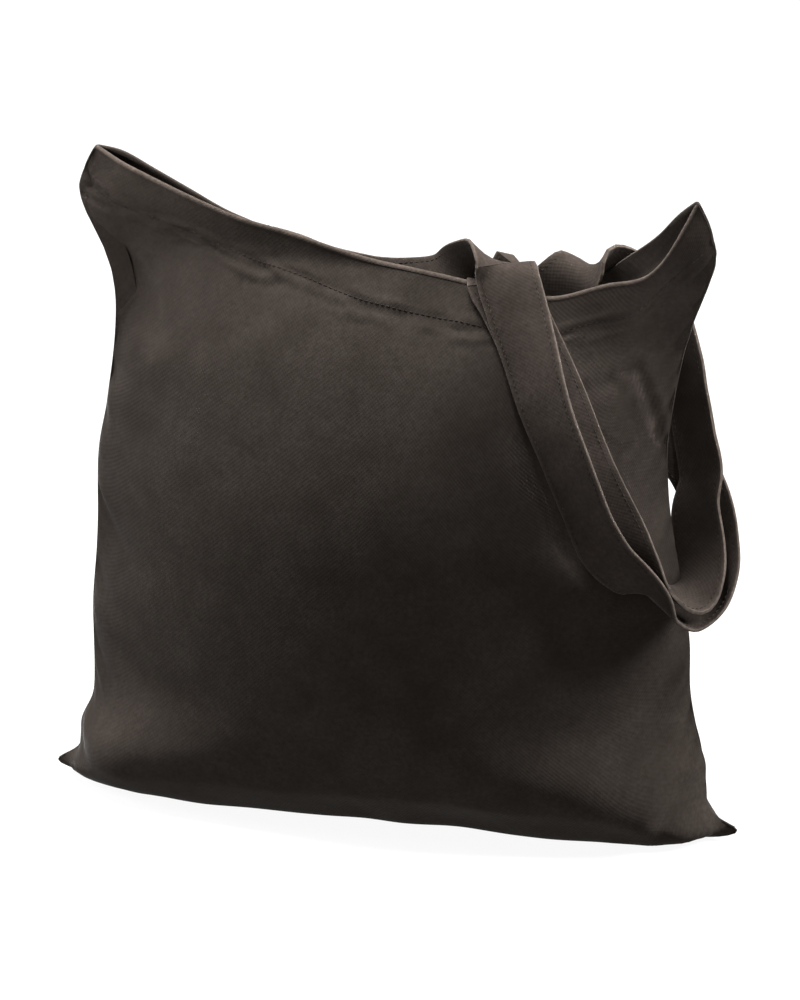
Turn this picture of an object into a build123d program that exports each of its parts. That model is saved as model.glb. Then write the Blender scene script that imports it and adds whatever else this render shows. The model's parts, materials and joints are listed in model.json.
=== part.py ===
"""Canvas tote bag, filled and standing, with both strap handles dropped over its right top corner.

Millimetres, +Z up, +X to the bag's right, front towards -Y, origin at the middle of the base.
"""
from build123d import *
import math
import os

# Cloth and strap
canvas = 0.8
strap_width = 36.0
strap_thickness = 2.0
hem_depth = 26.0
seam_allowance = 12.0

# Body of the filled bag
flat_half_width = 200.0
peak_height = 381.0
mid_reach_left = 182.0
mid_reach_right = 179.0
base_reach = 168.0
corner_reach = 190.0
corner_height = 30.0
base_half_depth = 34.0
belly_half_depth = 79.0
belly_height = 165.0
neck_height = 332.0
mouth_half_gap = 22.0
lens_power = 2.1

# Sides: each is pulled in once and flares below the top corner
left_waist_depth = 12.0
left_waist_height = 283.0
left_waist_span = 45.0
right_waist_depth = 18.0
right_waist_height = 212.0
right_waist_span = 70.0
flare = 10.0
flare_height = 350.0
flare_span = 24.0

# Mouth: how far each edge sags and how it rises to the two corners
front_sag = 54.0
back_sag = 58.0
front_left_rise = 1.2
front_right_rise = 5.0
back_left_rise = 2.0
back_right_rise = 3.0

# Ears at the bottom corners
ear_height = 17.0
ear_lift = 1.0

# Straps: sewn ends, hinge line through the folds over the hem, and the two free loops
sewn_offset = 65.0
hinge_x = 76.0
hinge_lift = 9.0
loop_tilt = 57.5
loop_length = 225.0
leg_bow = 10.0
strap_stack = 8.0
front_cross_shift = 11.0
back_cross_shift = 38.0
fold_rise = 20.0
crossing_gap = 5.5  # how far each run stands from the middle plane where the two cross
crossing_share = 0.45  # where a run stands, as a share of the mouth's half gap, before it climbs out
fold_share = 0.75  # how far out the crest of a fold stands, from the inside to its shoulder
fold_flat = 6.0  # flat length of a sewn end below its fold, which the loop lies on
fold_round = 0.5  # how far the strap still stands in from its lap at the fold's shoulder
fold_clearance = 1.4
lap_clearance = 1.6
seat_clearance = 2.2
front_run_sink = 58.0
back_run_sink = -10.0

# Layers of strap outside the hem, counted from the cloth: sewn end, crossing run, and the two loops
SEWN_LAYER = 0
RUN_LAYER = 1
FRONT_LOOP_LAYER = 2
BACK_LOOP_LAYER = 4

SECTION_SHARES = (0, 0.012, 0.04, 0.1, 0.2, 0.32, 0.45, 0.58, 0.7, 0.8, 0.87, 0.93, 1.04)
LENS_STATIONS = (-1, -0.62, 0, 0.62, 1)
LEG_STATIONS = ((0.5, 1.0), (0.82, 0.3))  # places down a leg, each with its share of the bow
MOUTH_STEPS = 6
SEAM_STEPS = 8
LOOP_STEPS = 12
FOLD_STEPS = 6
RUN_STEPS = 16
STRAP_RING = ((-1, -1), (1, -1), (1, 1), (-1, 1))
FRONT = -1
BACK = 1
LEFT = -1
RIGHT = 1
UP = Vector(0, 0, 1)
ACROSS = Vector(1, 0, 0)


def bump(z, height, span):
    """Smooth bell of height 1 around a level of the bag."""
    return math.exp(-(((z - height) / span) ** 2))


def reach(z, side):
    """Distance of a side seam from the middle at height z."""
    mid = mid_reach_left if side < 0 else mid_reach_right
    if z < corner_height:
        rise = math.sqrt(1 - (1 - z / corner_height) ** 2)
        return base_reach + (corner_reach - base_reach) * rise
    waist = left_waist_depth * bump(z, left_waist_height, left_waist_span)
    if side > 0:
        waist = right_waist_depth * bump(z, right_waist_height, right_waist_span)
    corner = (corner_reach - mid) * bump(z, corner_height, corner_height)
    return mid + corner - waist + flare * bump(z, flare_height, flare_span)


def depth(z):
    """Half thickness of the filled bag on its middle line at height z."""
    if z < belly_height:
        rise = math.sqrt(1 - (1 - z / belly_height) ** 2)
        return base_half_depth + (belly_half_depth - base_half_depth) * rise
    share = min((z - belly_height) / (neck_height - belly_height), 1)
    return mouth_half_gap + (belly_half_depth - mouth_half_gap) * math.cos(math.pi / 2 * share)


def bag_y(x, z):
    """Half thickness of the bag at a place on its face."""
    share = min(abs(x) / reach(z, x), 1)
    return depth(z) * (1 - share ** lens_power)


def mouth_z(face, x):
    """Height of the mouth's edge on one face of the bag."""
    sag = front_sag if face == FRONT else back_sag
    rises = (front_left_rise, front_right_rise) if face == FRONT else (back_left_rise, back_right_rise)
    share = min(abs(x) / reach(peak_height, x), 1)
    return peak_height - sag * (1 - share ** rises[x > 0])


def lens_section(z, inset):
    """Plan of the bag at height z, drawn in by a number of cloth layers."""
    seam_inset = inset * reach(z, RIGHT) / (lens_power * depth(z))
    points = []
    for share in LENS_STATIONS:
        x = share * (reach(z, share) - max(seam_inset, inset))
        y = (depth(z) - inset) * (1 - abs(share) ** lens_power)
        points.append((x, y))
    front = Spline(*[(x, -y) for x, y in points])
    back = Spline(*[(x, y) for x, y in reversed(points)])
    return make_face(front + back)


def lens_body(inset):
    """Solid pillow of the whole bag, as the room inside a number of cloth layers."""
    sections = []
    for share in SECTION_SHARES:
        z = share * peak_height
        level = max(z, inset) + (inset if share == SECTION_SHARES[-1] else 0)
        sections.append(Pos(0, 0, level) * lens_section(z, inset))
    return loft(sections)


def above_mouth(face, drop):
    """Everything above the mouth's edge on one face, or above a line that lies lower by drop."""
    span = 2 * flat_half_width
    reaches = [step / MOUTH_STEPS for step in range(-MOUTH_STEPS, MOUTH_STEPS + 1)]
    edge = [(share * reach(peak_height, share), mouth_z(face, share * reach(peak_height, share)))
            for share in reaches]
    line = Spline(*[(x, z - drop) for x, z in edge])
    start, end = line @ 0, line @ 1
    top = 2 * peak_height
    frame = Polyline((end.X, end.Y), (span, end.Y), (span, top), (-span, top), (-span, start.Y),
                     (start.X, start.Y))
    region = Plane.XZ * make_face(line + frame)
    return extrude(region, span * -face, dir=(0, -1, 0))


def half_space(face):
    """One side of the bag's middle plane."""
    span = 4 * flat_half_width
    return Pos(0, face * span / 2, 0) * Box(span, span, span)


def cloth_band(outer, inner, face):
    """One layer of cloth between two pillows, on one face of the bag, open at the mouth."""
    return (outer - inner) & half_space(face)


def ear(face, side):
    """Flat corner of one panel, left empty by the filling."""
    seam_x = reach(ear_height, side) - strap_thickness
    outline = Polyline((side * base_reach, ear_lift), (side * flat_half_width, 2 * ear_lift),
                       (side * flat_half_width, ear_lift + ear_height / 2), (side * seam_x, ear_height),
                       close=True)
    return extrude(Plane.XZ * make_face(outline), canvas * -face, dir=(0, -1, 0))


def panel(face, pillow, room):
    """One panel with its half of the base and its layer of both ears."""
    body = cloth_band(pillow, room, face) - above_mouth(face, 0)
    for side in (LEFT, RIGHT):
        body = body + (ear(face, side) - room)
    return body


def hem(face, room, hem_room):
    """Top edge of a panel, turned in and lying on the panel's inside."""
    band = cloth_band(room, hem_room, face)
    return (band - above_mouth(face, 0)) & above_mouth(face, hem_depth)


def side_seam(side, room):
    """Allowance of a side seam: both panels' edges, standing inwards on the middle plane."""
    inner_x = reach(peak_height, side) - seam_allowance
    top = min(mouth_z(face, side * inner_x) for face in (FRONT, BACK)) - hem_depth
    levels = [canvas + (top - canvas) * step / SEAM_STEPS for step in range(SEAM_STEPS + 1)]
    line = Spline(*[(side * (reach(z, side) - seam_allowance), z) for z in levels])
    start, end = line @ 0, line @ 1
    span = side * 2 * flat_half_width
    frame = Polyline((end.X, end.Y), (span, end.Y), (span, start.Y), (start.X, start.Y))
    return extrude(Plane.XZ * make_face(line + frame), canvas, both=True) & room


def bottom_seam(room):
    """Allowance of the bottom seam, pressed to the back on the base."""
    strip = Box(2 * (base_reach - seam_allowance), seam_allowance, 2 * canvas)
    return (Pos(0, seam_allowance / 2, 2 * canvas) * strip) & room


def ribbon(points, widths):
    """Flat strap through the given points, each with the direction across the strap there."""
    points = [Vector(*point) for point in points]
    last = len(points) - 1
    corners = {ring: [] for ring in STRAP_RING}
    for i, (point, width) in enumerate(zip(points, widths)):
        ahead = points[min(i + 1, last)] - points[max(i - 1, 0)]
        across = width.normalized()
        normal = ahead.cross(across).normalized()
        for side, layer in STRAP_RING:
            corner = point + across * (side * strap_width / 2) + normal * (layer * strap_thickness / 2)
            corners[side, layer].append(corner)
    edges = [Spline(*corners[ring]) for ring in STRAP_RING]
    faces = [Face.make_surface_from_curves(edge, edges[i - 1]) for i, edge in enumerate(edges)]
    for end in (0, 1):
        faces.append(Face(Wire.make_polygon([edge @ end for edge in edges])))
    return Solid(Shell(faces))


def even_steps(points, widths):
    """More places on the soft line through a strap's points, with the widths turned in step."""
    line = Spline(*points)
    lengths = [0]
    for point, following in zip(points, points[1:]):
        lengths.append(lengths[-1] + (Vector(*following) - Vector(*point)).length)
    places, turned = [], []
    for step in range(RUN_STEPS + 1):
        share = step / RUN_STEPS
        i = max(k for k in range(len(points) - 1) if lengths[k] <= share * lengths[-1])
        part = (share * lengths[-1] - lengths[i]) / (lengths[i + 1] - lengths[i])
        places.append(tuple(line @ share))
        turned.append(widths[i].normalized() * (1 - part) + widths[i + 1].normalized() * part)
    return places, turned


def lap_y(x, layer):
    """Distance of a strap layer's middle from the middle plane, outside the hem at the hinge line."""
    surface = bag_y(x - strap_width, mouth_z(FRONT, x) - strap_width / 4)
    return surface + fold_clearance + strap_thickness / 2 + layer * (strap_thickness + lap_clearance)


def hinge_point():
    """Middle of the hinge line, above the hem where both straps fold over it."""
    return Vector(hinge_x, 0, mouth_z(FRONT, hinge_x) + hinge_lift)


def loop_axes():
    """Direction of the dropped loops and, square to it, the direction across the strap."""
    tilt = math.radians(loop_tilt)
    return Vector(math.cos(tilt), 0, -math.sin(tilt)), Vector(math.sin(tilt), 0, math.cos(tilt))


def cross_shift(share):
    """Half the distance between the two straps across their width, at a share of the loop's length."""
    spread = max(2 * share - 1, 0)
    return (front_cross_shift + (back_cross_shift - front_cross_shift) * spread) / 2


def loop(layer, lean, length):
    """Free part of a handle: from its fold in front, round the bag's side, to its fold behind."""
    down, across = loop_axes()
    start = lap_y(hinge_x, layer)
    leg = [(0, start), (strap_width, start)]
    leg += [(share * length, start + bow * leg_bow) for share, bow in LEG_STATIONS]
    line = Spline(*[(r, -y) for r, y in leg], (length, 0), *[(r, y) for r, y in reversed(leg)])
    points = []
    for step in range(LOOP_STEPS + 1):
        share = step / LOOP_STEPS
        place = line @ share
        point = hinge_point() + down * place.X + Vector(0, place.Y, 0)
        points.append(point + across * (lean * cross_shift(share)))
    return ribbon(points, [across] * len(points))


def fold_place(face, layer, lean):
    """Where a strap that has crossed the hem meets its loop."""
    across = loop_axes()[1]
    share = 0 if face == FRONT else 1
    point = hinge_point() + across * (lean * cross_shift(share))
    return point + Vector(0, face * lap_y(hinge_x, layer), 0)


def sewn_y(face, x, z):
    """Middle of a strap that lies on the inside of the hem."""
    narrowest = min(bag_y(x - strap_width / 2, z), bag_y(x + strap_width / 2, z))
    return face * (narrowest - 2 * canvas - seat_clearance - strap_thickness / 2)


def on_edge_y(face, x, z):
    """Middle of a strap that stands on edge inside the bag, clear of the sewn layer."""
    narrowest = min(bag_y(x, z - strap_width / 2), bag_y(x, z + strap_width / 2))
    inside = narrowest - 2 * canvas - strap_thickness - 2 * fold_clearance
    return face * (inside - strap_thickness / 2)


def sewn_run(face, x):
    """Lowest and highest point of a strap end that is sewn to the hem."""
    top = mouth_z(face, x)
    low = top - hem_depth
    return [(x, sewn_y(face, x, low), low), (x, sewn_y(face, x, top), top + 2 * fold_clearance)]


def fold_run(face, layer, lean, crest, start):
    """Strap over the hem's edge: its crest, and the flat end that the loop begins on."""
    place = fold_place(face, layer, lean)
    shoulder = place - Vector(0, face * fold_round, 0)
    end = place + loop_axes()[0] * fold_flat
    top = ((start[0] + shoulder.X) / 2, start[1] + (shoulder.Y - start[1]) * fold_share, crest)
    return [top, tuple(shoulder), tuple(end)]


def short_end(face):
    """Strap end that is sewn next to its crossing: up from the hem and over its edge."""
    low, top = [(face * y, z) for x, y, z in sewn_run(face, sewn_offset)]
    outside = lap_y(hinge_x, SEWN_LAYER)
    radius = (outside - top[0]) / 2
    turns = [math.pi * step / FOLD_STEPS for step in range(FOLD_STEPS + 1)]
    fold = [(outside - radius - radius * math.cos(turn), top[1] + radius * math.sin(turn)) for turn in turns]
    halfway = ((low[0] + top[0]) / 2, (low[1] + top[1]) / 2)
    line = [low, halfway] + fold + [(outside, top[1] - fold_flat)]
    last = len(line) - 1
    edges = ([], [])
    for i, (y, z) in enumerate(line):
        ahead = Vector(*line[min(i + 1, last)]) - Vector(*line[max(i - 1, 0)])
        normal = Vector(-ahead.Y, ahead.X).normalized() * strap_thickness / 2
        edges[0].append((face * (y + normal.X), z + normal.Y))
        edges[1].append((face * (y - normal.X), z - normal.Y))
    outline = [Spline(*edges[0]), Spline(*edges[1]), Line(edges[0][0], edges[1][0]),
               Line(edges[0][-1], edges[1][-1])]
    strip = extrude(Plane.YZ * make_face(outline), strap_width / 2, both=True)
    return Pos(sewn_offset, 0, 0) * strip


def long_end(face, lean, sink):
    """Strap end that is sewn on the left: along the inside of the hem, then over the other hem."""
    x = -sewn_offset
    level = mouth_z(face, x) - strap_width / 2 - fold_clearance
    first = x - strap_width / 2
    low = mouth_z(face, 0) - strap_width / 2 - sink
    rise = hinge_point().Z + fold_rise
    start = (hinge_x - strap_width / 2, -face * mouth_half_gap * crossing_share, rise - strap_width / 2)
    points = [(first, on_edge_y(face, first, level), level), (x, on_edge_y(face, x, level), level),
              (0, -face * crossing_gap, low), start]
    points = points + fold_run(-face, RUN_LAYER, lean, rise, start)
    across = loop_axes()[1]
    widths = [UP, UP, UP, UP - ACROSS, -ACROSS, -across, -across]
    return ribbon(*even_steps(points, widths))


pillow = lens_body(0)
room = lens_body(canvas)
hem_room = lens_body(2 * canvas)

nodes = {
    "front_panel": panel(FRONT, pillow, room),
    "back_panel": panel(BACK, pillow, room),
    "front_hem": hem(FRONT, room, hem_room),
    "back_hem": hem(BACK, room, hem_room),
    "left_side_seam": side_seam(LEFT, room),
    "right_side_seam": side_seam(RIGHT, room),
    "bottom_seam": bottom_seam(room),
    "front_handle": loop(FRONT_LOOP_LAYER, RIGHT, loop_length),
    "back_handle": loop(BACK_LOOP_LAYER, LEFT, loop_length + strap_stack),
    "front_handle_right_end": short_end(FRONT),
    "back_handle_right_end": short_end(BACK),
    "front_handle_left_end": long_end(FRONT, RIGHT, front_run_sink),
    "back_handle_left_end": long_end(BACK, LEFT, back_run_sink),
}

os.makedirs("parts", exist_ok=True)
for name, solid in nodes.items():
    export_step(solid, f"parts/{name}.step")
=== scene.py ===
"""Looks of the filled canvas tote bag: settled panels, hems, seams, straps and stitching."""
import bpy
import json
import math
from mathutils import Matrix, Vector, noise


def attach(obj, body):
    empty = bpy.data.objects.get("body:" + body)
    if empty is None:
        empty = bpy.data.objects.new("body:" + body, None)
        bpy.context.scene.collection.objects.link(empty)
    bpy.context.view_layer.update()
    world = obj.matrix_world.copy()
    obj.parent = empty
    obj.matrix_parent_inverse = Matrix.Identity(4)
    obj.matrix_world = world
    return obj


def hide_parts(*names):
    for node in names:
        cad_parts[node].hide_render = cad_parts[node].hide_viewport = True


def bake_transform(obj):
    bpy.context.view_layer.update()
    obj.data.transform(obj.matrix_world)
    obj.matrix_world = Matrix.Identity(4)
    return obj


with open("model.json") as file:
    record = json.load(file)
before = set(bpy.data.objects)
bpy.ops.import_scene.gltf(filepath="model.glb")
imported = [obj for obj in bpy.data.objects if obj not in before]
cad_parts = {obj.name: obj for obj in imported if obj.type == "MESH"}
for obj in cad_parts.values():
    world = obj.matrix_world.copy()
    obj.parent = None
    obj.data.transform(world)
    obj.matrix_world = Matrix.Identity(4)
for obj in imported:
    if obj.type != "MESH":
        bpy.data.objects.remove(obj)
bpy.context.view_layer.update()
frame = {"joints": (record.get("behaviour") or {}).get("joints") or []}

MM = 0.001
FRONT, BACK = -1, 1
LEFT, RIGHT = -1, 1
ACROSS, BACKWARD, UP = Vector((1, 0, 0)), Vector((0, 1, 0)), Vector((0, 0, 1))

# Sizes in millimetres that the part's source also has
CANVAS = 0.8
STRAP_WIDTH = 36.0
STRAP_THICKNESS = 2.0
HEM_DEPTH = 26.0
SEAM_ALLOWANCE = 12.0
BELLY_HALF_DEPTH = 79.0
BELLY_HEIGHT = 165.0
NECK_HEIGHT = 332.0
MOUTH_HALF_GAP = 22.0
LENS_POWER = 2.1
SEWN_OFFSET = 65.0
# Where the line about which both strap loops turn lies, from the frame, and how they hang down from it
HINGE = Vector(frame["joints"][0]["pos_m"]) / MM
FALL_ANGLE = math.radians(57.5)
DOWN = Vector((math.cos(FALL_ANGLE), 0, -math.sin(FALL_ANGLE)))

# The filled cloth, in millimetres; its plan is nearly a rectangle on the floor and a lens above it
PANEL_WIDTH = 400.0
PANEL_LENGTH = 410.0
BASE_HALF_DEPTH = 30.0
BASE_POWER = 14.0
BASE_FADE = 36.0
MOUTH_HALF_WIDTH = 180.0
CLOTH_LIFT = 0.6
FLOOR_GAP = 0.3
# Ears at the bottom corners: reach, height, spread up and down, and how close to the seam they begin
EAR_REACH = 25.0
EAR_HEIGHT = 4.0
EAR_SPAN = 8.0
EAR_POWER = 12

# Cloth grid of a panel, how far it may move while it settles, and how its creases are evened out
COLUMNS = 96
ROWS = 100
SETTLE_FRAMES = 45
MOST_MOVE = 12.0
CALM_STEPS = 16
CALM_SHARE = 0.6
CALM_FROM_SEAM = 0.1
# What is held while the cloth settles: shares of the cut beside seam and mouth, and a height in millimetres
HELD_AT_SEAM = 0.012
HELD_AT_MOUTH = 0.02
HELD_ON_FLOOR = 1.5
# Points of the two cuts that are closer than this count as sewn
SEWN_WITHIN = 0.2

# Hem, in millimetres: its step and its stitch row, the roll of its edge (out, up) and the layer inside
HEM_STEP = 0.5
HEM_STEP_SPAN = 0.8
ROW_ABOVE_STEP = 2.0
ROW_PULL = 0.7
ROW_PULL_SPAN = 1.6
HEM_ROLL = [(0.10, -1.6), (0.22, -0.5), (0.05, 0.45), (-0.55, 0.85), (-1.2, 0.35)]
HEM_INSIDE_GAP = 0.75
HEM_INSIDE_CLOTH = 0.5

# Gathers under the hem row, puckers beside the seams and a slow unevenness: height, reach and fineness
GATHER, GATHER_DROP, GATHER_SPAN = 2.6, 2.0, 9.0
GATHER_ACROSS, GATHER_SLANT, GATHER_DOWN = 11, 0.02, 0.16
GATHER_LEFT, GATHER_RIGHT, GATHER_CHANGE = 1.3, 0.7, -0.35
PUCKER, PUCKER_SPAN, PUCKER_START = 3.6, 16, 3
PUCKER_IN, PUCKER_UP = 0.035, 27
UNEVEN, UNEVEN_FINENESS = 0.5, 0.03
# Places in the noise field, so that front, back, left and right differ
GATHER_SEED, PUCKER_SEED, RIGHT_SEED, UNEVEN_SEED = 4, 9, 3, 20

# Seam allowances, in millimetres: distance from the seam line, wave, lengths, and height of the bottom one
SEAM_START = 1.2
SEAM_WAVE = 1.2
SEAM_WAVE_FINENESS = 0.14
# The wave leans slightly, so that the bottom allowance isn't quite flat
SEAM_WAVE_LEAN = 0.01
SEAM_COLUMNS = 6
BOTTOM_SEAM_LIFT = 2.2
SIDE_SEAM_ROWS = range(2, ROWS - 7)
BOTTOM_SEAM_COLUMNS = range(6, COLUMNS - 5)

# Straps, in millimetres: grid lines across, spacing along, ripple, rounded edges, where the painted edge
# highlight begins, and edge rows
STRAP_LINES = (-18, -17.2, -15.6, -14.6, -13.4, -9, -4, 0, 4, 9, 13.4, 14.6, 15.6, 17.2, 18)
STRAP_SPACING = 3.0
STRAP_RIPPLE = 0.35
RIPPLE_ACROSS, RIPPLE_ALONG = 0.05, 0.06
STRAP_ROUND = 0.7
EDGE_HIGHLIGHT_FROM = 16.8
EDGE_ROW = 14.6
EDGE_ROW_LIFT = 0.95
# Sewn strap ends: how far they lie inside the panel, and half the width of the bag at its rim
SEWN_INSET = 4.0
RIM_HALF_WIDTH = 186
# A grid point counts as on the long edge, and as clear of a piece's ends, within these shares
LONG_EDGE = 0.99
END_SHARE = 0.001

# Stitches, in millimetres: thread radius, length, gap, and (share along, lift, thickness) of one hump
THREAD = 0.26
STITCH_LENGTH = 2.7
STITCH_GAP = 0.7
STITCH_SIDES = 6
STITCH_HUMP = [(0.0, -0.35, 0.55), (0.18, 0.1, 0.95), (0.5, 0.22, 1.0), (0.82, 0.1, 0.95),
               (1.0, -0.35, 0.55)]
# Hem rows: their height over the cloth and the columns that they run along
HEM_ROW_LIFT = 0.15
HEM_ROW_COLUMNS = range(3, 2 * COLUMNS - 2)

# Side seams: half width of the bag by height, read from the photograph's outline
LEFT_SEAM = [(0, 172), (6, 184), (30, 191), (51, 183), (105, 183), (150, 180), (197, 179), (227, 174),
             (286, 168), (315, 173), (349, 189), (366, 187), (381, 180)]
RIGHT_SEAM = [(0, 172), (6, 182), (43, 184), (60, 180), (87, 175), (121, 174), (190, 163), (211, 161),
              (237, 161), (280, 168), (304, 174), (345, 188), (366, 185), (381, 178)]
# Edges of the mouth: height by place across the bag
FRONT_MOUTH = [(-180, 381), (-160, 374), (-143, 369), (-104, 357), (-83, 351), (-52, 345), (-10, 335),
               (33, 330), (70, 325), (98, 322), (125, 330), (146, 336), (158, 354), (168, 368), (180, 381)]
BACK_MOUTH = [(-180, 381), (-163, 377), (-141, 366), (-119, 354), (-98, 341), (-50, 322), (0, 314),
              (60, 312), (109, 319), (126, 337), (147, 356), (161, 369), (180, 381)]


def smooth(points, at):
    """Value at one place on a soft line through (place, value) pairs."""
    last = len(points) - 1
    if at <= points[0][0]:
        return points[0][1]
    if at >= points[last][0]:
        return points[last][1]
    i = max(k for k in range(last) if points[k][0] <= at)
    span = points[i + 1][0] - points[i][0]
    t = (at - points[i][0]) / span

    def slope(k):
        before, after = points[max(k - 1, 0)], points[min(k + 1, last)]
        return (after[1] - before[1]) / (after[0] - before[0]) * span

    return (points[i][1] * (2 * t ** 3 - 3 * t ** 2 + 1) + slope(i) * (t ** 3 - 2 * t ** 2 + t)
            + points[i + 1][1] * (3 * t ** 2 - 2 * t ** 3) + slope(i + 1) * (t ** 3 - t ** 2))


def reach(z, side):
    """Half width of the bag at a height, on one side."""
    return smooth(LEFT_SEAM if side < 0 else RIGHT_SEAM, z)


def depth(z):
    """Half thickness of the filled bag on its middle line."""
    if z < BELLY_HEIGHT:
        rise = math.sqrt(max(0.0, 1 - (1 - max(z, 0) / BELLY_HEIGHT) ** 2))
        return BASE_HALF_DEPTH + (BELLY_HALF_DEPTH - BASE_HALF_DEPTH) * rise
    share = min((z - BELLY_HEIGHT) / (NECK_HEIGHT - BELLY_HEIGHT), 1)
    return MOUTH_HALF_GAP + (BELLY_HALF_DEPTH - MOUTH_HALF_GAP) * math.cos(math.pi / 2 * share)


def start_point(face, u, v):
    """Where a point of a panel's cut lies before the cloth settles: u across, v from the bottom seam up."""
    side = LEFT if u < 0 else RIGHT
    edge = smooth(FRONT_MOUTH if face == FRONT else BACK_MOUTH, MOUTH_HALF_WIDTH * u)
    base = BASE_HALF_DEPTH * (1 - abs(u) ** BASE_POWER)
    along = v * (base + edge)
    z = max(along - base, 0.0)
    power = LENS_POWER + (BASE_POWER - LENS_POWER) * math.exp(-(z / BASE_FADE) ** 2)
    y = min(along, depth(z) * (1 - abs(u) ** power))
    ear = EAR_REACH * math.exp(-((z - EAR_HEIGHT) / EAR_SPAN) ** 2) * abs(u) ** EAR_POWER
    x = u * reach(z, side) + side * ear
    return Vector((x, face * y, z + CLOTH_LIFT)) * MM


def deselect():
    """Leaves nothing selected, because operators act on all that is."""
    bpy.ops.object.select_all(action="DESELECT")


def grid_piece(name, columns, rows, place, flat=lambda u, v: (0.0, 0.0, 0.0)):
    """Grid whose vertices are set by place(u, v), u from -1 to 1 and v from 0 to 1.

    flat(u, v) gives the place on the flat cloth in millimetres, and how much painted edge highlight the
    cloth gets there.
    """
    deselect()
    bpy.ops.mesh.primitive_grid_add(x_subdivisions=columns, y_subdivisions=rows, size=1)
    grid = bpy.context.object
    grid.name = grid.data.name = name
    cut = [(2 * vertex.co.x, vertex.co.y + 0.5) for vertex in grid.data.vertices]
    for vertex, (u, v) in zip(grid.data.vertices, cut):
        vertex.co = place(u, v)
    kept = grid.data.attributes.new("cut", "FLOAT_VECTOR", "POINT")
    kept.data.foreach_set("vector", [number for u, v in cut for number in (u, v, 0.0)])
    woven = grid.data.attributes.new("cloth", "FLOAT_VECTOR", "POINT")
    woven.data.foreach_set("vector", [number for u, v in cut for number in flat(u, v)])
    return grid


def edit(obj, *steps):
    """Runs edit-mode operators on everything in one piece."""
    deselect()
    obj.select_set(True)
    bpy.context.view_layer.objects.active = obj
    bpy.ops.object.mode_set(mode="EDIT")
    bpy.ops.mesh.select_all(action="SELECT")
    for step, settings in steps:
        step(**settings)
    bpy.ops.object.mode_set(mode="OBJECT")


def finish_with(obj, kind, **settings):
    """Adds a modifier and applies it."""
    deselect()
    obj.select_set(True)
    bpy.context.view_layer.objects.active = obj
    modifier = obj.modifiers.new(kind.lower(), kind)
    for name, value in settings.items():
        setattr(modifier, name, value)
    bpy.ops.object.modifier_apply(modifier=modifier.name)


def calm(moves, edges, cut):
    """Evens out the small creases of the settled cloth away from its seams, as stuffing behind it does."""
    beside = [[] for move in moves]
    for a, b in edges:
        beside[a].append(b)
        beside[b].append(a)
    for step in range(CALM_STEPS):
        evened = []
        for move, near, (u, v, spare) in zip(moves, beside, cut):
            mean = sum((moves[k] for k in near), Vector()) / len(near)
            evened.append(move.lerp(mean, CALM_SHARE * min((1 - abs(u)) / CALM_FROM_SEAM, 1)))
        moves = evened
    return moves


def settle():
    """Both cuts sewn together at the sides and the bottom, filled with air until the cloth creases.

    Gives the settled place of each grid point: {(face, column, row): place}.
    """
    halves = [grid_piece("cut", COLUMNS, ROWS, lambda u, v, face=face: start_point(face, u, v))
              for face in (FRONT, BACK)]
    edit(halves[1], (bpy.ops.mesh.flip_normals, {}))
    deselect()
    for half in halves:
        half.select_set(True)
    bpy.context.view_layer.objects.active = halves[0]
    bpy.ops.object.join()
    bag = bpy.context.object
    edit(bag, (bpy.ops.mesh.remove_doubles, {"threshold": SEWN_WITHIN * MM}))
    starts = [vertex.co.copy() for vertex in bag.data.vertices]
    cut = [tuple(place.vector) for place in bag.data.attributes["cut"].data]
    pins = bag.vertex_groups.new(name="sewn")
    for i, (u, v, spare) in enumerate(cut):
        seam = 1 - (1 - abs(u)) / HELD_AT_SEAM
        edge = 1 - (1 - v) / HELD_AT_MOUTH
        base = 1 if starts[i].z < HELD_ON_FLOOR * MM else 0
        pins.add([i], min(max(seam, edge, base, 0), 1), "REPLACE")
    cloth = bag.modifiers.new("cloth", "CLOTH")
    # canvas that hardly stretches and bends easily, cut a little full and pressed out from inside
    rules = cloth.settings
    rules.quality = 6
    rules.mass = 0.0004
    rules.tension_stiffness = rules.compression_stiffness = 25
    rules.shear_stiffness = 8
    rules.bending_stiffness = 0.25
    rules.tension_damping = rules.compression_damping = 8
    rules.air_damping = 3
    rules.shrink_min = -0.03
    rules.vertex_group_mass = "sewn"
    rules.use_pressure = True
    rules.uniform_pressure_force = 2.2
    rules.effector_weights.gravity = 0.15
    cloth.collision_settings.use_collision = False
    cloth.collision_settings.use_self_collision = False
    last = SETTLE_FRAMES
    cloth.point_cache.frame_end = last
    for step in range(1, last + 1):
        bpy.context.scene.frame_set(step)
    shaped = bag.evaluated_get(bpy.context.evaluated_depsgraph_get())
    moves = [vertex.co - start for vertex, start in zip(shaped.data.vertices, starts)]
    moves = calm(moves, [tuple(edge.vertices) for edge in bag.data.edges], cut)
    places = {}
    for i, move in enumerate(moves):
        if move.length > MOST_MOVE * MM:
            move *= MOST_MOVE * MM / move.length
        u, v, spare = cut[i]
        column, row = round((u + 1) / 2 * COLUMNS), round(v * ROWS)
        sides = [FRONT if starts[i].y < 0 else BACK]
        if column in (0, COLUMNS) or row == 0:
            sides = [FRONT, BACK]
        for face in sides:
            places[face, column, row] = (starts[i] + move) / MM
    bpy.context.scene.frame_set(1)
    deselect()
    bag.select_set(True)
    bpy.ops.object.delete()
    return places


# Deep folds of the front panel: points across and up, width and depth of the fold
FRONT_FOLDS = [
    ([(-160, 318), (-150, 300), (-138, 280)], 8.0, 2.0),
    ([(139, 281), (144, 284), (150, 270), (155, 252), (157, 238)], 2.4, 1.5),
    ([(112, 268), (132, 275)], 4.0, 0.8),
    ([(177, 36), (168, 10)], 5.0, 2.2),
]
# The ridge beside a fold: its distance in fold widths and its share of the depth
RIDGE_DISTANCE = 2.2
RIDGE_SHARE = 0.3


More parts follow.
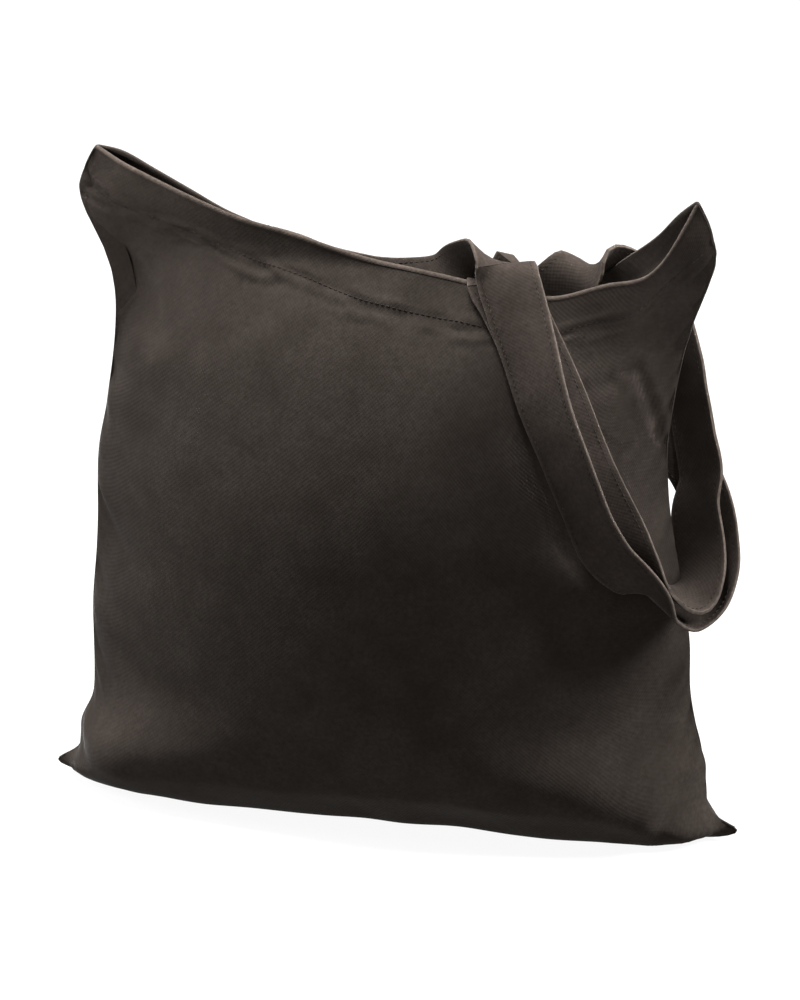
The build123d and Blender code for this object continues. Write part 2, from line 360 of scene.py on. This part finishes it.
def fold_depth(x, z, line, width, deep):
    """Depth of one fold at a place on the front: a valley with a low ridge along it."""
    nearest = math.inf
    for (ax, az), (bx, bz) in zip(line, line[1:]):
        length = (bx - ax) ** 2 + (bz - az) ** 2
        t = min(max(((x - ax) * (bx - ax) + (z - az) * (bz - az)) / length, 0), 1)
        nearest = min(nearest, math.hypot(x - ax - t * (bx - ax), z - az - t * (bz - az)))
    valley = math.exp(-(nearest / width) ** 2)
    ridge = math.exp(-((nearest - RIDGE_DISTANCE * width) / width) ** 2)
    return deep * (RIDGE_SHARE * ridge - valley)


def relief(face, u, v, x, z):
    """How far a panel's surface stands out, in millimetres, through its sewing and small creases."""
    drop = (1 - v) * PANEL_LENGTH
    inset = (1 - abs(u)) * PANEL_WIDTH / 2
    out = HEM_STEP / (1 + math.exp((drop - HEM_DEPTH) / HEM_STEP_SPAN))
    out -= ROW_PULL * math.exp(-((drop - HEM_DEPTH + ROW_ABOVE_STEP) / ROW_PULL_SPAN) ** 2)
    slanted = u * GATHER_ACROSS + drop * GATHER_SLANT
    gather = noise.noise(Vector((slanted, drop * GATHER_DOWN, GATHER_SEED * face)))
    fade = math.exp(-((drop - HEM_DEPTH - GATHER_DROP) / GATHER_SPAN) ** 2)
    out += GATHER * gather * fade * (GATHER_LEFT if u < GATHER_CHANGE else GATHER_RIGHT)
    seed = PUCKER_SEED * face + (RIGHT_SEED if u > 0 else 0)
    pucker = noise.noise(Vector((inset * PUCKER_IN, v * PUCKER_UP, seed)))
    out += PUCKER * pucker * math.exp(-inset / PUCKER_SPAN) * min(inset / PUCKER_START, 1)
    out += UNEVEN * noise.noise(Vector((x * UNEVEN_FINENESS, z * UNEVEN_FINENESS, UNEVEN_SEED * face)))
    if face == FRONT:
        out += sum(fold_depth(x, z, *fold) for fold in FRONT_FOLDS)
    return out


def panel_piece(face, places):
    """One panel of cloth on its settled shape, with its sewing relief and the thickness of canvas."""
    name = "front_panel_cloth" if face == FRONT else "back_panel_cloth"

    def place(u, v):
        return places[face, round((u + 1) / 2 * COLUMNS), round(v * ROWS)] * MM

    def flat(u, v):
        return u * PANEL_WIDTH / 2, v * PANEL_LENGTH, 0.0

    panel = grid_piece(name, COLUMNS, ROWS, place, flat)
    if face == BACK:
        edit(panel, (bpy.ops.mesh.flip_normals, {}))
    finish_with(panel, "SUBSURF", levels=1, render_levels=1)
    cut = [tuple(place.vector) for place in panel.data.attributes["cut"].data]
    normals = [vertex.normal.copy() for vertex in panel.data.vertices]
    table = {}
    for vertex, normal, (u, v, spare) in zip(panel.data.vertices, normals, cut):
        vertex.co += normal * relief(face, u, v, vertex.co.x / MM, vertex.co.z / MM) * MM
        vertex.co.z = max(vertex.co.z, FLOOR_GAP * MM)
        table[round((u + 1) * COLUMNS), round(v * 2 * ROWS)] = (vertex.co / MM, normal)
    finish_with(panel, "SOLIDIFY", thickness=CANVAS * MM, offset=-1, use_even_offset=False)
    return panel, table


def hem_piece(face, table):
    """The panel's top edge, rolled over and lying on its inside down to the stitch row."""
    top = 2 * ROWS
    deep = round(HEM_DEPTH / PANEL_LENGTH * top)
    rows = len(HEM_ROLL) + deep

    def place(u, v):
        column, row = round((u + 1) * COLUMNS), round(v * rows)
        point, normal = table[column, top]
        upward = (point - table[column, top - 2][0]).normalized()
        if row < len(HEM_ROLL):
            out, up = HEM_ROLL[row]
            return (point + normal * out + upward * up) * MM
        point, normal = table[column, top - (row - len(HEM_ROLL))]
        return (point - normal * (CANVAS + HEM_INSIDE_GAP)) * MM

    def flat(u, v):
        row = round(v * rows)
        # painted highlight along the rolled edge of the hem
        edge_highlight = 1.0 if 0 < row < len(HEM_ROLL) - 1 else 0.0
        return u * PANEL_WIDTH / 2, row * HEM_DEPTH / rows, edge_highlight

    name = "front_hem_fold" if face == FRONT else "back_hem_fold"
    hem = grid_piece(name, 2 * COLUMNS, rows, place, flat)
    edit(hem, (bpy.ops.mesh.normals_make_consistent, {"inside": False}))
    finish_with(hem, "SOLIDIFY", thickness=HEM_INSIDE_CLOTH * MM, offset=0)
    return hem


def seam_piece(name, points, inward):
    """Seam allowance: a narrow doubled strip from the seam line inwards, slightly wavy."""
    rows = len(points) - 1

    def place(u, v):
        row = round(v * rows)
        share = (u + 1) / 2
        wave = SEAM_WAVE * share * noise.noise(Vector((row * SEAM_WAVE_FINENESS, share, len(name))))
        sideways = inward.cross(UP + ACROSS * SEAM_WAVE_LEAN)
        return (points[row] + inward * (SEAM_START + share * SEAM_ALLOWANCE) + sideways * wave) * MM

    def flat(u, v):
        return u * SEAM_ALLOWANCE / 2, v * PANEL_LENGTH, 0.0

    strip = grid_piece(name, SEAM_COLUMNS, rows, place, flat)
    finish_with(strip, "SOLIDIFY", thickness=2 * CANVAS * MM, offset=0)
    return strip


def strap_line(points, widths):
    """Sections along a strap, each (place, width direction, normal, station), and the points' stations."""
    points = [Vector(p) for p in points]
    marks = [0.0]
    for a, b in zip(points, points[1:]):
        marks.append(marks[-1] + (b - a).length)
    tracks = [[(m, p[axis]) for m, p in zip(marks, points)] for axis in range(3)]
    turns = [[(m, w.normalized()[axis]) for m, w in zip(marks, widths)] for axis in range(3)]
    steps = round(marks[-1] / STRAP_SPACING)
    stations = [marks[-1] * step / steps for step in range(steps + 1)]
    middle = [Vector([smooth(track, at) for track in tracks]) for at in stations]
    sections = []
    for i, at in enumerate(stations):
        ahead = (middle[min(i + 1, steps)] - middle[max(i - 1, 0)]).normalized()
        width = Vector([smooth(turn, at) for turn in turns])
        width = (width - ahead * width.dot(ahead)).normalized()
        sections.append((middle[i], width, ahead.cross(width), at))
    return sections, marks


def strap_point(section, across, out):
    """Place on a section, so far across the strap and so far out of its middle surface."""
    place, width, normal, station = section
    return place + width * across + normal * out


def strap_piece(name, sections):
    """Folded canvas strap on its sections, slightly rippled, with rounded long edges."""
    last = len(sections) - 1

    def line(u):
        return STRAP_LINES[round((u + 1) / 2 * (len(STRAP_LINES) - 1))]

    def place(u, v):
        across, section = line(u), sections[round(v * last)]
        ripple = noise.noise(Vector((across * RIPPLE_ACROSS, section[3] * RIPPLE_ALONG, len(name))))
        return strap_point(section, across, STRAP_RIPPLE * ripple) * MM

    def flat(u, v):
        across = line(u)
        # painted highlight growing towards both long edges of the strap
        edge_highlight = max(abs(across) - EDGE_HIGHLIGHT_FROM, 0) / (STRAP_WIDTH / 2 - EDGE_HIGHLIGHT_FROM)
        return across, sections[round(v * last)][3], edge_highlight

    strap = grid_piece(name, len(STRAP_LINES) - 1, last, place, flat)
    finish_with(strap, "SOLIDIFY", thickness=STRAP_THICKNESS * MM, offset=0)
    cut = [tuple(at.vector) for at in strap.data.attributes["cut"].data]
    rounded = [i for i, (u, v, spare) in enumerate(cut)
               if abs(u) > LONG_EDGE and END_SHARE < v < 1 - END_SHARE]
    strap.vertex_groups.new(name="long_edges").add(rounded, 1, "REPLACE")
    finish_with(strap, "BEVEL", width=STRAP_ROUND * MM, segments=2, limit_method="VGROUP",
                vertex_group="long_edges")
    strap.vertex_groups.clear()
    return strap


def stitch_piece(name, rows):
    """Rows of stitches, each row a list of (place, normal) and each stitch a small hump of thread."""
    turns = [k * math.tau / STITCH_SIDES for k in range(STITCH_SIDES)]
    points, faces = [], []
    for row in rows:
        marks = [0.0]
        for here, ahead in zip(row, row[1:]):
            marks.append(marks[-1] + (ahead[0] - here[0]).length)
        at = STITCH_GAP
        while at + STITCH_LENGTH < marks[-1]:
            first = len(points)
            for share, lift, thick in STITCH_HUMP:
                station = at + share * STITCH_LENGTH
                i = max(k for k in range(len(marks) - 1) if marks[k] <= station)
                t = (station - marks[i]) / (marks[i + 1] - marks[i])
                place = row[i][0].lerp(row[i + 1][0], t)
                normal = row[i][1].lerp(row[i + 1][1], t).normalized()
                side = (row[i + 1][0] - row[i][0]).cross(normal).normalized()
                for turn in turns:
                    out = lift + math.sin(turn) * THREAD * thick
                    points.append((place + normal * out + side * math.cos(turn) * THREAD * thick) * MM)
            for k in range(first, first + STITCH_SIDES * (len(STITCH_HUMP) - 1), STITCH_SIDES):
                for c in range(STITCH_SIDES):
                    a, b = k + c, k + (c + 1) % STITCH_SIDES
                    faces.append((a, b, b + STITCH_SIDES, a + STITCH_SIDES))
            end = first + STITCH_SIDES * (len(STITCH_HUMP) - 1)
            faces.append(tuple(first + c for c in reversed(range(STITCH_SIDES))))
            faces.append(tuple(end + c for c in range(STITCH_SIDES)))
            at += STITCH_LENGTH + STITCH_GAP
    mesh = bpy.data.meshes.new(name)
    mesh.from_pydata(points, [], faces)
    obj = bpy.data.objects.new(name, mesh)
    bpy.context.collection.objects.link(obj)
    edit(obj, (bpy.ops.mesh.normals_make_consistent, {"inside": False}))
    return obj


# Straps: place and width direction at stations from the sewn right end over its hem, down one leg, round the
# bag's side, up the other leg, over the other hem and through the mouth to the sewn left end
FRONT_LEG = [
    ((66, -20.5, 328), (1, 0.1, 0)),
    ((75, -27.5, 321), (0.95, 0.3, 0.1)),
    ((87, -35, 304), (0.86, 0.46, 0.23)),
    ((105, -43, 274), (0.83, 0.47, 0.30)),
    ((124, -45, 230), (0.82, 0.48, 0.33)),
    ((139, -40, 196), (0.87, 0.38, 0.32)),
    ((150, -36, 174), (0.93, -0.12, 0.36)),
    ((162, -28, 157), (0.69, -0.65, 0.21)),
    ((175, -17, 150), (0.87, -0.39, -0.25)),
    ((179, -3, 156), (0.93, -0.31, 0.15)),
    ((177, 9, 168), (0.90, -0.22, 0.35)),
    ((172, 19, 191), (0.85, -0.33, 0.41)),
    ((173, 26, 210), (0.76, -0.41, 0.52)),
    ((168, 30, 232), (0.78, -0.49, 0.40)),
    ((163, 31, 256), (0.80, -0.52, 0.31)),
    ((158, 30, 280), (0.82, -0.45, 0.35)),
    ((145, 28, 308), (0.85, -0.13, 0.50)),
    ((127, 24, 325), (0.90, 0.1, 0.40)),
    ((114, 18, 332), (0.95, 0.1, 0.30)),
]
# Station at which the loop is pinched round the bag's side and its two legs meet
PINCH = 7
FRONT_RUN = [
    ((103, 10, 327), (0.95, 0.1, 0.15)),
    ((86, 6, 312), (0.75, 0.1, -0.5)),
    ((55, 5, 289), (0.5, 0, -0.9)),
    ((22, 5, 270), (0.3, 0, -1)),
    ((0, 4, 263), (0, 0, -1)),
    ((-35, -4, 289), (0, 0, -1)),
    ((-65, -12.5, 320), (0, 0, -1)),
    ((-84, -13, 325), (0, 0, -1)),
]
BACK_LEG = [
    ((68, 20.5, 324.5), (1, -0.1, 0)),
    ((76, 28, 319), (0.95, -0.1, 0.2)),
    ((88, 35, 308), (0.85, -0.1, 0.5)),
    ((105, 42, 287), (0.84, 0, 0.54)),
    ((124, 45, 259), (0.84, 0, 0.54)),
    ((145, 43, 231), (0.84, -0.1, 0.54)),
    ((165, 36, 209), (0.84, -0.3, 0.45)),
    ((177, 28, 189), (0.87, -0.29, 0.39)),
    ((183, 18, 168), (0.91, -0.24, 0.33)),
    ((185, 9, 156), (0.93, -0.31, 0.20)),
    ((182, -4, 143), (0.91, -0.41, 0.02)),
    ((173, -18, 139), (0.79, -0.54, -0.22)),
    ((167, -28, 146), (0.60, -0.78, -0.05)),
    ((163, -36, 156), (0.45, -0.80, 0.40)),
    ((154, -44, 166), (0.42, -0.54, 0.72)),
    ((141, -53, 183), (0.58, -0.38, 0.70)),
    ((131, -60, 208), (0.75, -0.40, 0.52)),
    ((117, -62, 244), (0.81, -0.33, 0.48)),
    ((105, -58, 270), (0.87, -0.25, 0.44)),
    ((93, -48, 298), (0.92, -0.08, 0.39)),
    ((82, -37, 320), (0.95, 0.10, 0.26)),
    ((75, -29.5, 333), (0.97, 0.15, 0.05)),
    ((70, -22, 340), (0.95, 0.21, -0.18)),
]
BACK_RUN = [
    ((59, -14, 339), (0.9, 0.1, -0.4)),
    ((46, -9.5, 332), (0.6, 0, -0.8)),
    ((27, -7.5, 321), (0.2, -0.6, -0.8)),
    ((9, -5, 316), (0, -0.6, -0.8)),
    ((-16, 0, 312), (0, -0.4, -0.9)),
    ((-42, 7, 314), (0, 0, -1)),
    ((-65, 12.5, 318), (0, 0, -1)),
    ((-84, 13, 321), (0, 0, -1)),
]


def sewn_end(face):
    """Strap end on the inside of its hem: places and width directions from its cut end upwards."""
    top = smooth(FRONT_MOUTH if face == FRONT else BACK_MOUTH, SEWN_OFFSET)
    lens = 1 - ((SEWN_OFFSET + STRAP_WIDTH / 2) / RIM_HALF_WIDTH) ** LENS_POWER
    stations = []
    for share in (0, 0.5, 1):
        z = top - HEM_DEPTH * (1 - share)
        stations.append(((SEWN_OFFSET, face * (depth(z) * lens - SEWN_INSET), z), (1, 0, 0)))
    return stations


def strap_pieces(name, sewn, leg, run, legs):
    """The pieces of one strap with their edge rows; the sewn ends are placed on the bag's body.

    legs: for each piece of the free loop its name, its last station, and where its bend at the hem starts
    and ends, in millimetres along the loop's fall from the hinge; the bend's start and end are not used.
    """
    stations = sewn + leg + run
    places = [place for place, width in stations]
    sections, marks = strap_line(places, [Vector(width) for place, width in stations])
    starts = [marks[len(sewn)]] + [marks[len(sewn) + last] for part, last, start, end in legs]
    cuts = [0]
    for start in starts:
        cuts.append(min(i for i, section in enumerate(sections) if section[3] >= start))
    cuts.append(len(sections) - 1)
    bends = {part: [(HINGE + DOWN * at) * MM for at in (start, end)] for part, last, start, end in legs}
    made = []
    for part, (a, b) in zip(["right_end"] + list(bends) + ["left_end"], zip(cuts, cuts[1:])):
        stretch = sections[a:b + 1]
        piece = strap_piece(f"{name}_{part}_strap", stretch)
        rows = []
        for across in (-EDGE_ROW, EDGE_ROW):
            for face in (1, -1):
                rows.append([(strap_point(section, across, face * EDGE_ROW_LIFT), section[2] * face)
                             for section in stretch])
        thread = stitch_piece(f"{name}_{part}_stitches", rows)
        for obj in (piece, thread):
            if part in bends:
                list(bends[part])
                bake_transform(obj)
            else:
                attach(obj, "bag")
        made.append((piece, thread))
    return made


def node(tree, kind, links=(), inputs=(), **settings):
    """Adds a node with its settings, its fixed inputs and its links."""
    made = tree.nodes.new(kind)
    for name, value in settings.items():
        setattr(made, name, value)
    for socket, value in inputs:
        made.inputs[socket].default_value = value
    for source, socket in links:
        tree.links.new(source, made.inputs[socket])
    return made


def linear(code):
    """Linear colour from an sRGB hex value."""
    parts = [int(code[i:i + 2], 16) / 255 for i in (1, 3, 5)]
    return tuple(c / 12.92 if c <= 0.04045 else ((c + 0.055) / 1.055) ** 2.4 for c in parts) + (1.0,)


# Canvas, in millimetres: mottles of the dye, flecks of lint, thick places in the yarn, thread spacing
MOTTLE = 22.2
FLECK = 2.38
SLUB = 6.25
# Real threads are about 0.6 mm apart, too fine to show, so they are drawn coarser
WEAVE = 1.3
# Height of the weave as a share of the thick places' height, and the height of the whole relief
WEAVE_SHARE = 0.3
BUMP = 0.6
# Shares of mottle and fleck at which the cloth has its dark and its light colour
DARK_AT, LIGHT_AT = 0.12, 0.42
# Inputs and output of a colour mix, which share their names with those for other kinds of value
MIX_SHARE, MIX_FIRST, MIX_SECOND, MIX_RESULT = 0, 6, 7, 2


def canvas_finish(name, dark, light, edge_highlight):
    """Black-dyed cloth or thread: matte, faintly mottled and flecked, woven where it has a flat cut, and
    with a painted highlight along folded edges.
    """
    finish = bpy.data.materials.new(name)
    finish.use_nodes = True
    tree = finish.node_tree
    shader = tree.nodes["Principled BSDF"]
    place = node(tree, "ShaderNodeTexCoord").outputs["Object"]
    cloud = node(tree, "ShaderNodeTexNoise", [(place, "Vector")],
                 [("Scale", 1 / (MOTTLE * MM)), ("Detail", 3.0), ("Roughness", 0.6)]).outputs["Fac"]
    fleck = node(tree, "ShaderNodeTexNoise", [(place, "Vector")],
                 [("Scale", 1 / (FLECK * MM)), ("Detail", 2.0)]).outputs["Fac"]
    mix = node(tree, "ShaderNodeMath", [(cloud, 0), (fleck, 1)], operation="MULTIPLY")
    ramp = node(tree, "ShaderNodeValToRGB", [(mix.outputs[0], "Fac")])
    ramp.color_ramp.elements[0].position = DARK_AT
    ramp.color_ramp.elements[0].color = linear(dark)
    ramp.color_ramp.elements[1].position = LIGHT_AT
    ramp.color_ramp.elements[1].color = linear(light)
    cloth = node(tree, "ShaderNodeAttribute", attribute_name="cloth")
    flat = node(tree, "ShaderNodeSeparateXYZ", [(cloth.outputs["Vector"], "Vector")])
    # painted highlight: paler colour along folded edges, standing in for the light that they catch
    edge_highlight_share = node(tree, "ShaderNodeMath", [(flat.outputs["Z"], 0), (fleck, 1)], operation="MULTIPLY")
    colour = node(tree, "ShaderNodeMix", [(edge_highlight_share.outputs[0], MIX_SHARE), (ramp.outputs["Color"], MIX_FIRST)],
                  [(MIX_SECOND, linear(edge_highlight))], data_type="RGBA")
    tree.links.new(colour.outputs[MIX_RESULT], shader.inputs["Base Color"])
    # plain weave: threads over and under each other in both directions of the flat cloth
    threads = []
    for axis in ("X", "Y"):
        turn = node(tree, "ShaderNodeMath", [(flat.outputs[axis], 0)], [(1, math.pi / WEAVE)],
                    operation="MULTIPLY")
        threads.append(node(tree, "ShaderNodeMath", [(turn.outputs[0], 0)], operation="SINE").outputs[0])
    weave = node(tree, "ShaderNodeMath", [(threads[0], 0), (threads[1], 1)], operation="MULTIPLY")
    slub = node(tree, "ShaderNodeTexNoise", [(place, "Vector")],
                [("Scale", 1 / (SLUB * MM)), ("Detail", 4.0)])
    height = node(tree, "ShaderNodeMath", [(weave.outputs[0], 0), (slub.outputs["Fac"], 2)],
                  [(1, WEAVE_SHARE)], operation="MULTIPLY_ADD")
    bump = node(tree, "ShaderNodeBump", [(height.outputs[0], "Height")],
                [("Strength", 0.22), ("Distance", BUMP * MM)])
    tree.links.new(bump.outputs["Normal"], shader.inputs["Normal"])
    shader.inputs["Roughness"].default_value = 0.93
    shader.inputs["Specular IOR Level"].default_value = 0.03
    shader.inputs["Sheen Weight"].default_value = 0.06
    shader.inputs["Sheen Roughness"].default_value = 0.25
    return finish


# Edges that turn by less than this many degrees are shaded smooth
SMOOTH_ANGLE = 50


def dress(objs, finish):
    """Gives pieces their material and smooth shading."""
    for obj in objs:
        obj.data.materials.clear()
        obj.data.materials.append(finish)
        deselect()
        obj.select_set(True)
        bpy.context.view_layer.objects.active = obj
        bpy.ops.object.shade_smooth_by_angle(angle=math.radians(SMOOTH_ANGLE))


def hem_rows(table):
    """Stitch row of a hem on the outside of its panel."""
    row = round((1 - (HEM_DEPTH - ROW_ABOVE_STEP) / PANEL_LENGTH) * 2 * ROWS)
    along = [table[column, row] for column in HEM_ROW_COLUMNS]
    return [[(place + normal * HEM_ROW_LIFT, normal) for place, normal in along]]


# Studio lamps in metres, degrees and watts: name, place, target, size, spread and power
LAMPS = [
    ("top_soft", (-0.35, 0.05, 2.2), (0, 0, 0.2), 0.9, 180, 255),
    ("left_soft", (-1.8, -0.1, 0.9), (0, 0, 0.2), 0.8, 180, 72),
    ("right_soft", (1.7, 0.45, 1.3), (0, 0, 0.2), 0.8, 180, 205),
    ("left_grid", (-0.9, -0.9, 0.8), (-0.18, -0.02, 0.36), 0.1, 8, 0.09),
    ("right_grid", (0.9, -0.8, 0.9), (0.165, -0.03, 0.295), 0.1, 9, 0.075),
]
# Floor, in metres: its size and how far it lies below the bag
FLOOR_SIZE = 12
FLOOR_DROP = 0.0005
# The photograph's view, in degrees and metres: direction, distance, aim beside and above the origin, height
VIEW_AZIMUTH, VIEW_ELEVATION = 17, 19
VIEW_DISTANCE = 9.0
AIM_RIGHT, AIM_UP = 0.0017, 0.1754
VIEW_HEIGHT = 0.575
# Width of the camera's sensor in millimetres
SENSOR = 36


def studio():
    """White floor, soft light from above and both sides, light on both top corners, and the view."""
    scene = bpy.context.scene
    deselect()
    bpy.ops.mesh.primitive_plane_add(size=FLOOR_SIZE, location=(0, 0, -FLOOR_DROP))
    floor = bpy.context.object
    floor.name = "studio_floor"
    # opal acrylic lit from below: an even white ground with hardly a shadow
    paint = bpy.data.materials.new("backlit white acrylic table")
    paint.use_nodes = True
    shader = paint.node_tree.nodes["Principled BSDF"]
    shader.inputs["Base Color"].default_value = linear("#454545")
    shader.inputs["Roughness"].default_value = 0.9
    shader.inputs["Specular IOR Level"].default_value = 0.0
    shader.inputs["Emission Color"].default_value = linear("#ffffff")
    shader.inputs["Emission Strength"].default_value = 0.93
    floor.data.materials.append(paint)
    world = bpy.data.worlds.new("studio")
    scene.world = world
    world.use_nodes = True
    world.node_tree.nodes["Background"].inputs["Color"].default_value = (1, 1, 1, 1)
    world.node_tree.nodes["Background"].inputs["Strength"].default_value = 0.2
    for name, place, target, size, spread, power in LAMPS:
        deselect()
        bpy.ops.object.light_add(type="AREA", location=place)
        light = bpy.context.object
        light.name = name
        light.data.size = size
        light.data.spread = math.radians(spread)
        light.data.energy = power
        light.rotation_euler = (Vector(target) - Vector(place)).to_track_quat("-Z", "Y").to_euler()
    azimuth, elevation = math.radians(VIEW_AZIMUTH), math.radians(VIEW_ELEVATION)
    right = Vector((math.cos(azimuth), math.sin(azimuth), 0))
    back = Vector((math.sin(azimuth) * math.cos(elevation), -math.cos(azimuth) * math.cos(elevation),
                   math.sin(elevation)))
    aim = right * AIM_RIGHT + back.cross(right) * AIM_UP
    deselect()
    bpy.ops.object.camera_add(location=aim + back * VIEW_DISTANCE)
    camera = bpy.context.object
    camera.rotation_euler = back.to_track_quat("Z", "Y").to_euler()
    camera.data.sensor_width = SENSOR
    camera.data.lens = SENSOR * VIEW_DISTANCE / VIEW_HEIGHT
    scene.camera = camera
    scene.view_settings.view_transform = "Standard"


places = settle()
front_panel, front_table = panel_piece(FRONT, places)
back_panel, back_table = panel_piece(BACK, places)
front_hem = hem_piece(FRONT, front_table)
back_hem = hem_piece(BACK, back_table)
left_line = [places[FRONT, 0, row] for row in SIDE_SEAM_ROWS]
right_line = [places[FRONT, COLUMNS, row] for row in SIDE_SEAM_ROWS]
bottom_line = [places[BACK, column, 0] + UP * BOTTOM_SEAM_LIFT for column in BOTTOM_SEAM_COLUMNS]
left_seam = seam_piece("left_seam_allowance", left_line, ACROSS)
right_seam = seam_piece("right_seam_allowance", right_line, -ACROSS)
bottom_seam = seam_piece("bottom_seam_allowance", bottom_line, BACKWARD)
front_hem_row = stitch_piece("front_hem_stitches", hem_rows(front_table))
back_hem_row = stitch_piece("back_hem_stitches", hem_rows(back_table))
# The back leg of the front strap crosses its hem beside the hinge line, so its listed bend range runs over
# its whole length
front_legs = [("front_leg", PINCH, 3, 25), ("back_leg", len(FRONT_LEG) - 1, 25, 190)]
back_legs = [("loop", len(BACK_LEG) - 1, 7, 28)]
front_pieces = strap_pieces("front_handle", sewn_end(FRONT), FRONT_LEG, FRONT_RUN, front_legs)
back_pieces = strap_pieces("back_handle", sewn_end(BACK), BACK_LEG, BACK_RUN, back_legs)

# Cotton canvas, dyed black: matte and nearly even, with the weave just showing in raking light and a painted
# highlight along the hem's rolled edge
black_canvas = canvas_finish("black cotton canvas", "#1c1815", "#24201d", "#423b36")
# The same canvas folded to a strap, with a painted highlight along its long edges
black_strap = canvas_finish("black folded canvas strap", "#1c1815", "#26211e", "#433c37")
# Spun polyester thread: matte, and close to the cloth in tone, so that only its humps show
black_thread = canvas_finish("black polyester thread", "#1d1916", "#25211e", "#25211e")
cloth = [front_panel, back_panel, front_hem, back_hem, left_seam, right_seam, bottom_seam]
dress(cloth, black_canvas)
dress([front_hem_row, back_hem_row], black_thread)
for piece, thread in front_pieces + back_pieces:
    dress([piece], black_strap)
    dress([thread], black_thread)
for obj in cloth + [front_hem_row, back_hem_row]:
    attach(obj, "bag")
    "seam" if "allowance" in obj.name else "canvas"
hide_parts("front_panel")
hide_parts("back_panel")
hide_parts("front_hem")
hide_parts("back_hem")
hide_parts("left_side_seam")
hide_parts("right_side_seam")
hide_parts("bottom_seam")
for name, pieces in (("front_handle", front_pieces), ("back_handle", back_pieces)):
    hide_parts(f"{name}_right_end")
    for piece, thread in pieces[1:-1]:
        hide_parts(name)
    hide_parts(f"{name}_left_end")
studio()
